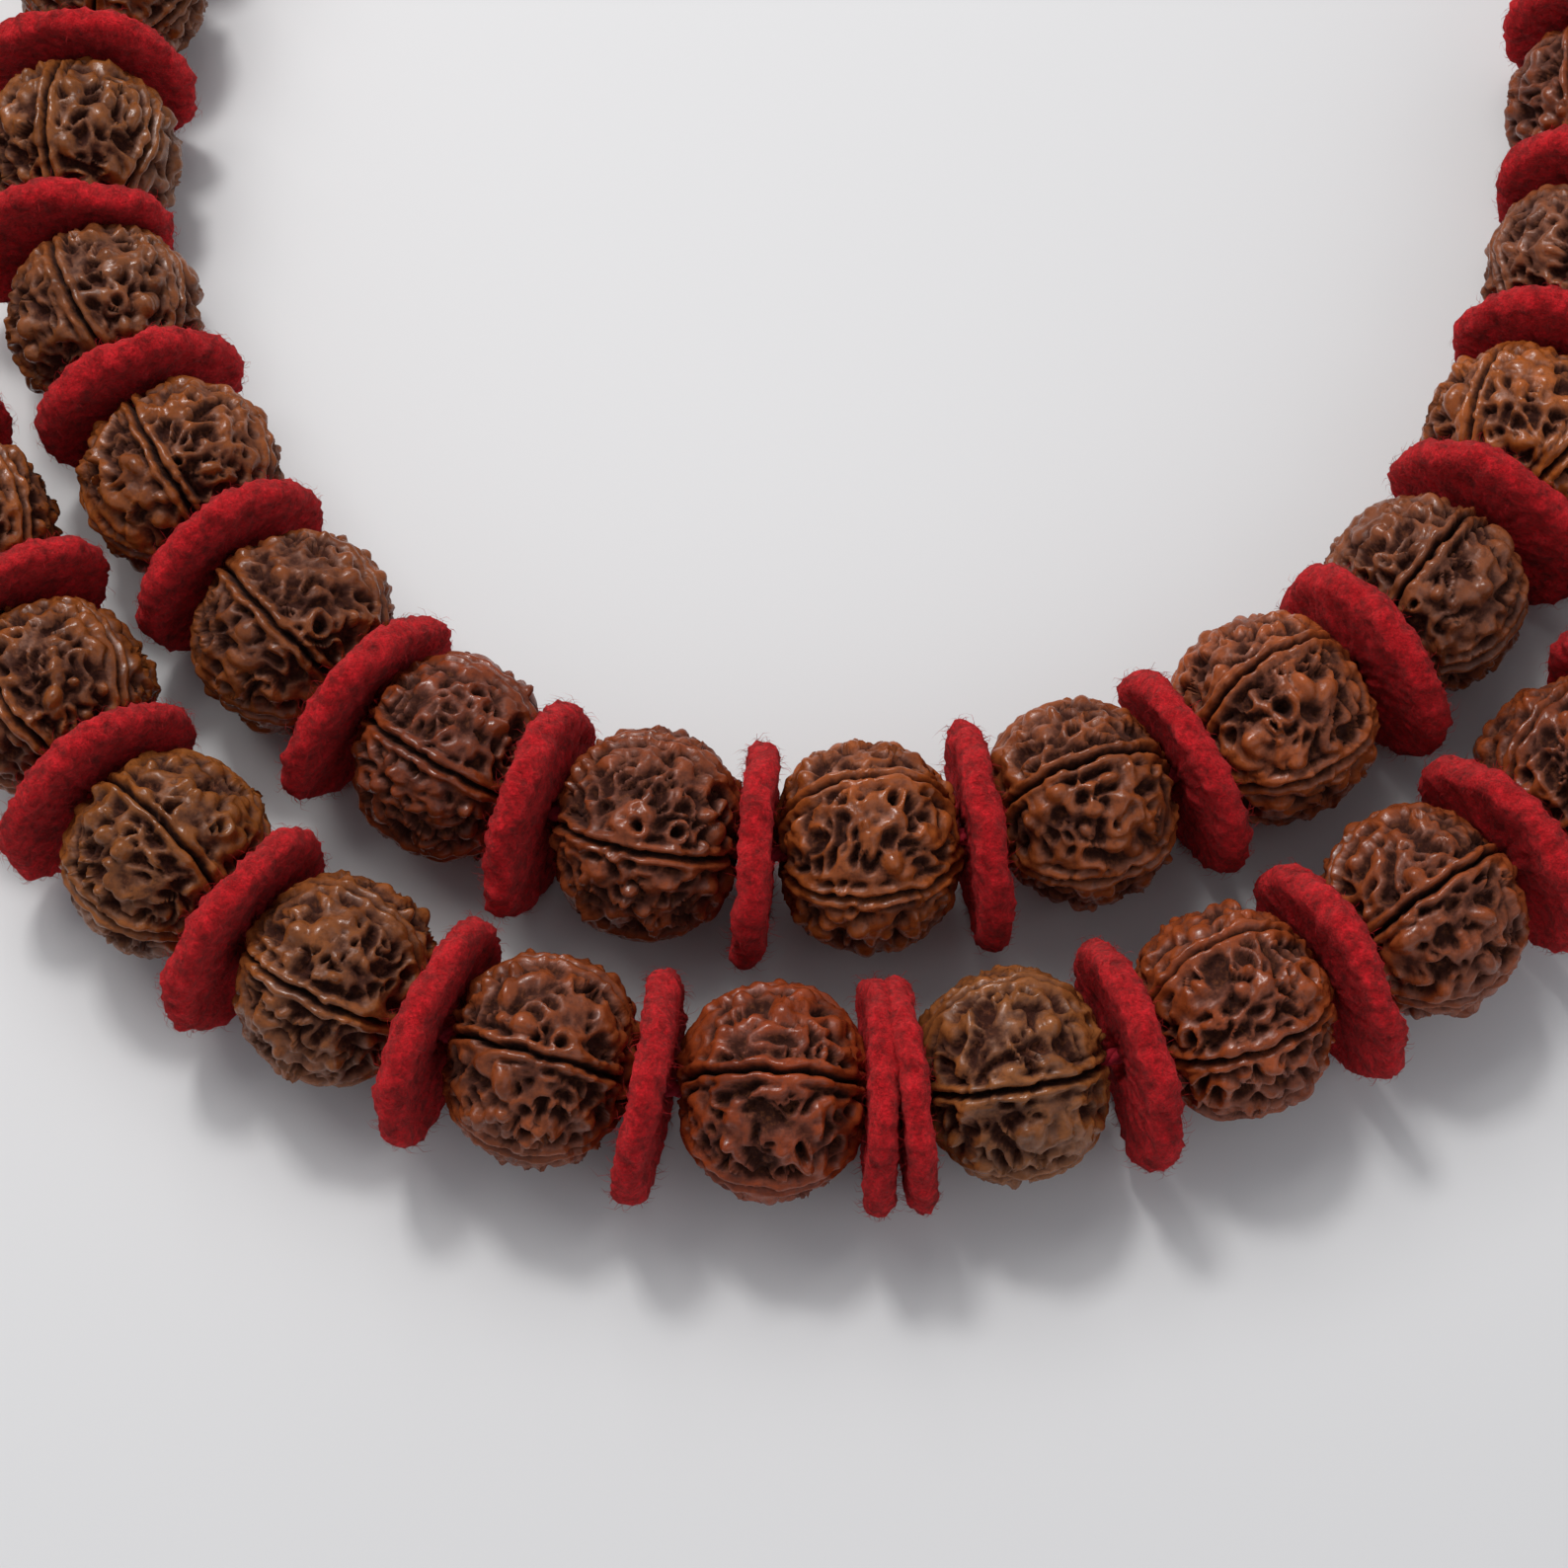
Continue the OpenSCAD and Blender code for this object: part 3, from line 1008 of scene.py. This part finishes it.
class MALA_OT_tassel(bpy.types.Operator):
    """Makes the knot behind the guru bead, the tassel's gold binding and its skirt of threads."""

    bl_idname = "mala.tassel"
    bl_label = "Knot and tassel"

    def execute(self, context):
        settings = context.scene.mala_cord
        layout = Layout()
        red = thread_material("knotted cord", settings.colour, 0.8, 0.25)
        silk = thread_material("tassel silk", settings.colour, 0.45, 0.5)
        gold = thread_material("gold thread", settings.gold, 0.38, 0.5, 0.75)
        low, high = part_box("guru_knot")
        size = (high[0] - low[0]) / 2 - KNOT_INSET
        axes = axes_about(layout.guru_way)
        knot = knot_line(size) @ axes.T + np.array(layout.knot)
        mesh = thread_mesh("closing_knot", [knot], KNOT_LINE, 3, closed=True)
        new_piece("closing_knot", mesh, red, "guru", ["guru_knot"])
        middle = middle_of("tassel_binding")
        way = (middle - layout.knot).normalized()
        self.make_binding(middle, axes_about(way), gold)
        self.make_skirt(layout.knot, middle, way, settings, silk)
        return {"FINISHED"}

    def make_binding(self, middle, axes, material):
        """Metallic thread wound on a core."""
        low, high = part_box("tassel_binding")
        outer = (high[0] - low[0]) / 2
        half = BINDING_LENGTH / 2
        turns = BINDING_LENGTH / (BINDING_THREAD * BINDING_PITCH)
        angle = np.linspace(0, 2 * math.pi * turns, int(turns * 36))
        rise = np.linspace(-half + BINDING_THREAD, half - BINDING_THREAD, len(angle))
        ring = (outer - BINDING_THREAD) * (1 - 0.05 * (rise / half) ** 2)
        coil = np.stack([ring * np.cos(angle), ring * np.sin(angle), rise], axis=1)
        wound = thread_mesh("coil", [coil @ axes.T + np.array(middle)], BINDING_THREAD, 2)
        core = mesh_from(lathe(
            [(0, -half), (outer * 0.80, -half), (outer * 0.88, -half * 0.9),
             (outer * 0.88, half * 0.9), (outer * 0.80, half), (0, half)], 40), "core")
        set_points(core, mesh_points(core) @ axes.T + np.array(middle))
        mesh = joined("binding", [wound, core])
        new_piece("binding", mesh, material, "tassel", ["tassel_binding"])

    def make_skirt(self, knot, middle, way, settings, material):
        """Loose threads below the binding, and the loop above it that hangs in the knot."""
        draw = np.random.default_rng(SKIRT_DRAW)
        axes = axes_about(way)
        start = np.array(middle + way * SKIRT_START)
        steps = np.linspace(0, 1, 9)
        lines = []
        for k in range(settings.threads):
            share = math.sqrt((k + 0.5) / settings.threads)
            angle = k * GOLDEN_TURN
            top = SKIRT_TOP * share
            foot = SKIRT_FOOT * share
            drift = draw.uniform(-0.25, 0.25)
            reach = SKIRT_LENGTH * draw.uniform(0.95, 1.0)
            spread = top + (foot - top) * np.sin(steps * math.pi / 2) ** 1.4
            turn = angle + drift * steps + 0.05 * np.sin(steps * 9 + k)
            wavy = 0.00035 * np.sin(steps * 7 + draw.uniform(0, 6)) * steps
            line = np.stack([
                spread * np.cos(turn) + wavy, spread * np.sin(turn) * 1.12 - wavy,
                steps * reach], axis=1)
            line = line @ axes.T + start
            line[:, 2] = np.maximum(line[:, 2], settings.thread_radius + FLOOR_CLEARANCE)
            lines.append(line)
        loose = thread_mesh("loose", lines, settings.thread_radius, 0)
        neck = [knot + way * LOOP_START, middle]
        loop = thread_mesh("loop", twisted(neck, LOOP_RADIUS), LOOP_STRAND, 2)
        mesh = joined("skirt", [loose, loop])
        new_piece("skirt", mesh, material, "tassel", ["tassel_skirt"])


# ---------------------------------------------------------------- stage


def soft_light(name, place, aim, size, power, colour):
    """A rectangle of light at a place, turned to face its aim."""
    light = bpy.data.lights.new(name, "AREA")
    light.shape = "RECTANGLE"
    light.size, light.size_y = size
    light.energy = power
    light.color = colour
    lamp = bpy.data.objects.new(name, light)
    lamp.location = place
    lamp.rotation_mode = "QUATERNION"
    lamp.rotation_quaternion = (Vector(place) - Vector(aim)).to_track_quat("Z", "Y")
    bpy.context.scene.collection.objects.link(lamp)


class MALA_OT_stage(bpy.types.Operator):
    """Makes the plain floor, the soft lights and the camera."""

    bl_idname = "mala.stage"
    bl_label = "Stage"

    def execute(self, context):
        settings = context.scene.mala_stage
        scene = context.scene
        bm = bmesh.new()
        bmesh.ops.create_grid(bm, x_segments=8, y_segments=8, size=1.6)
        floor = bpy.data.objects.new("floor", mesh_from(bm, "floor"))
        floor.data.materials.append(floor_material(settings.floor))
        scene.collection.objects.link(floor)
        soft_light("window", (-0.12, 0.22, 0.55), (0, -0.06, 0), (0.11, 0.09),
                   settings.window, (1.0, 0.99, 0.97))
        soft_light("key", (-0.25, 0.35, 0.75), (0, -0.05, 0), (0.75, 0.6),
                   settings.key, (1.0, 0.985, 0.96))
        soft_light("fill", (0.55, -0.45, 0.55), (0, -0.05, 0), (0.8, 0.6),
                   settings.fill, (0.95, 0.97, 1.0))
        world = bpy.data.worlds.new("even light")
        world.use_nodes = True
        sky = world.node_tree.nodes["Background"]
        sky.inputs["Color"].default_value = (0.93, 0.95, 1, 1)
        sky.inputs["Strength"].default_value = settings.sky
        scene.world = world
        scene.view_settings.view_transform = "Standard"
        lens = bpy.data.cameras.new("camera")
        lens.lens = CAMERA_LENS
        lens.sensor_width = 36
        lens.clip_start = 0.01
        lens.clip_end = 20
        camera = bpy.data.objects.new("camera", lens)
        camera.location = CAMERA_AIM + TO_CAMERA * CAMERA_DISTANCE
        camera.rotation_mode = "QUATERNION"
        look = TO_CAMERA.to_track_quat("Z", "Y").to_matrix()
        roll = Matrix.Rotation(math.radians(CAMERA_ROLL), 3, "Z")
        camera.rotation_quaternion = (look @ roll).to_quaternion()
        scene.collection.objects.link(camera)
        scene.camera = camera
        return {"FINISHED"}


# ---------------------------------------------------------------- panel


class MALA_PT_panel(bpy.types.Panel):
    """Lists the pieces and their sizes."""

    bl_label = "Mala"
    bl_idname = "MALA_PT_panel"
    bl_space_type = "VIEW_3D"
    bl_region_type = "UI"
    bl_category = "Mala"

    def draw(self, context):
        for operator in OPERATORS:
            self.layout.operator(operator.bl_idname)
        for name in SETTINGS:
            group = getattr(context.scene, name)
            box = self.layout.box()
            for key in group.bl_rna.properties.keys():
                if key not in ("rna_type", "name"):
                    box.prop(group, key)


SETTINGS = {
    "mala_seeds": SeedSettings,
    "mala_felt": FeltSettings,
    "mala_cord": CordSettings,
    "mala_stage": StageSettings,
}
OPERATORS = (MALA_OT_stage, MALA_OT_cord, MALA_OT_felt, MALA_OT_seeds, MALA_OT_tassel)
CLASSES = (*SETTINGS.values(), *OPERATORS, MALA_PT_panel)


def register():
    for made in CLASSES:
        bpy.utils.register_class(made)
    for name, group in SETTINGS.items():
        setattr(bpy.types.Scene, name, PointerProperty(type=group))


def unregister():
    for name in SETTINGS:
        delattr(bpy.types.Scene, name)
    for made in reversed(CLASSES):
        bpy.utils.unregister_class(made)


def main():
    """Makes every piece."""
    register()
    bpy.ops.mala.stage()
    bpy.ops.mala.cord()
    bpy.ops.mala.felt()
    bpy.ops.mala.seeds()
    bpy.ops.mala.tassel()


if __name__ == "__main__":
    main()
